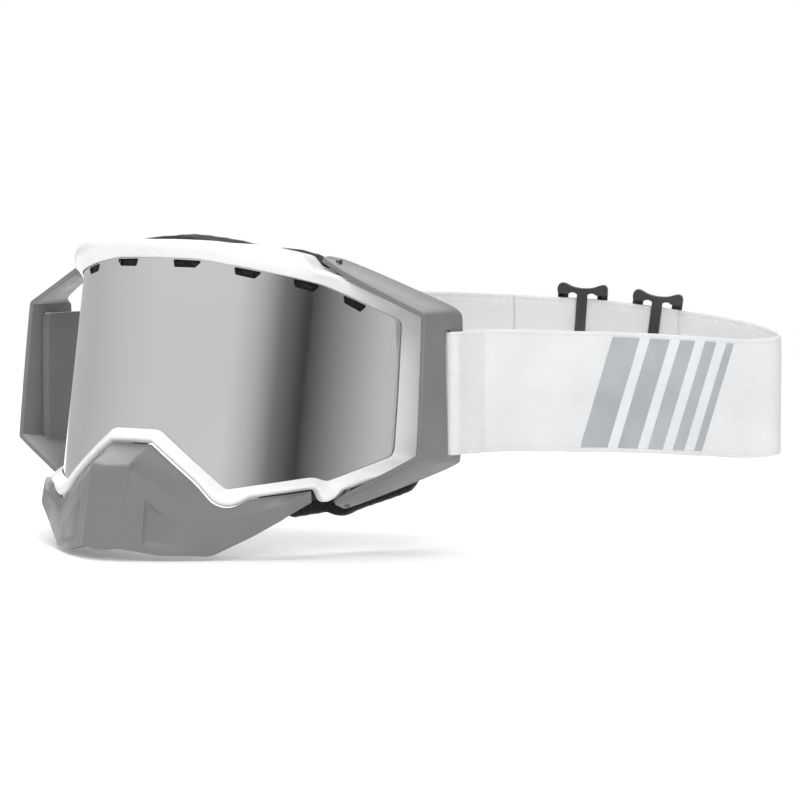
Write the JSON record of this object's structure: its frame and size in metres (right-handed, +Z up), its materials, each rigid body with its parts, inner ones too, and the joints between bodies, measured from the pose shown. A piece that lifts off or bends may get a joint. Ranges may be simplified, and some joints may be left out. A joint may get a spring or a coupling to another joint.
{
  "type": "motorcycle goggles",
  "caption": "Motorcycle goggles: vented mirror lens in a rigid frame with layered face foam, hinged strap outriggers, nose guard and an elastic strap with sliding adjusters.",
  "frame": {"origin": "centre of the face opening, on the symmetry plane, between the foam's brow and temples", "axes": "+Y towards the wearer's face, +X to the wearer's left, +Z up"},
  "size_m": [0.2561, 0.2157, 0.1135],
  "materials": {
    "white_frame": "satin moulded white",
    "grey_plastic": "satin moulded mid grey",
    "pale_rubber": "soft matte pale grey",
    "mirror_lens": "silver mirror coating",
    "black_foam": "open-cell foam with fleece face",
    "white_webbing": "woven elastic",
    "black_plastic": "satin moulded black",
    "pin_steel": "plain steel"
  },
  "bodies": {
    "root": {"frame_shell": "white_frame", "face_frame": "pale_rubber", "lens": "mirror_lens", "vent_foam": "black_foam", "foam_base": "black_foam", "foam_middle": "black_foam", "foam_face": "black_foam", "nose_guard": "grey_plastic", "pivot_pin_left_top": "pin_steel", "pivot_pin_left_bottom": "pin_steel", "pivot_pin_right_top": "pin_steel", "pivot_pin_right_bottom": "pin_steel", "strap_band": "white_webbing", "strap_tail": "white_webbing"},
    "bracket_left": {"outrigger_left": "grey_plastic", "strap_loop_left": "white_webbing", "strap_cover_left": "grey_plastic"},
    "bracket_right": {"outrigger_right": "grey_plastic", "strap_loop_right": "white_webbing", "strap_cover_right": "grey_plastic"},
    "slider_front": {"strap_slider_front": "black_plastic"},
    "slider_rear": {"strap_slider_rear": "black_plastic"}
  },
  "joints": [
    {"name": "outrigger_left_pivot", "type": "hinge", "parent": "root", "child": "bracket_left", "pos_m": [0.05822, 0.00561, 0], "axis": [0.0579, -0.0296, -0.9979], "range_deg": [0, 7]},
    {"name": "outrigger_right_pivot", "type": "hinge", "parent": "root", "child": "bracket_right", "pos_m": [-0.05822, 0.00561, 0], "axis": [0.0579, 0.0296, 0.9979], "range_deg": [0, 7]},
    {"name": "slider_front_slide", "type": "slide", "parent": "root", "child": "slider_front", "axis": [-0.88, -0.4707, 0.0637], "range_m": [0, 0.01]},
    {"name": "slider_rear_slide", "type": "slide", "parent": "root", "child": "slider_rear", "axis": [0.8778, 0.4616, -0.128], "range_m": [0, 0.01]}
  ]
}
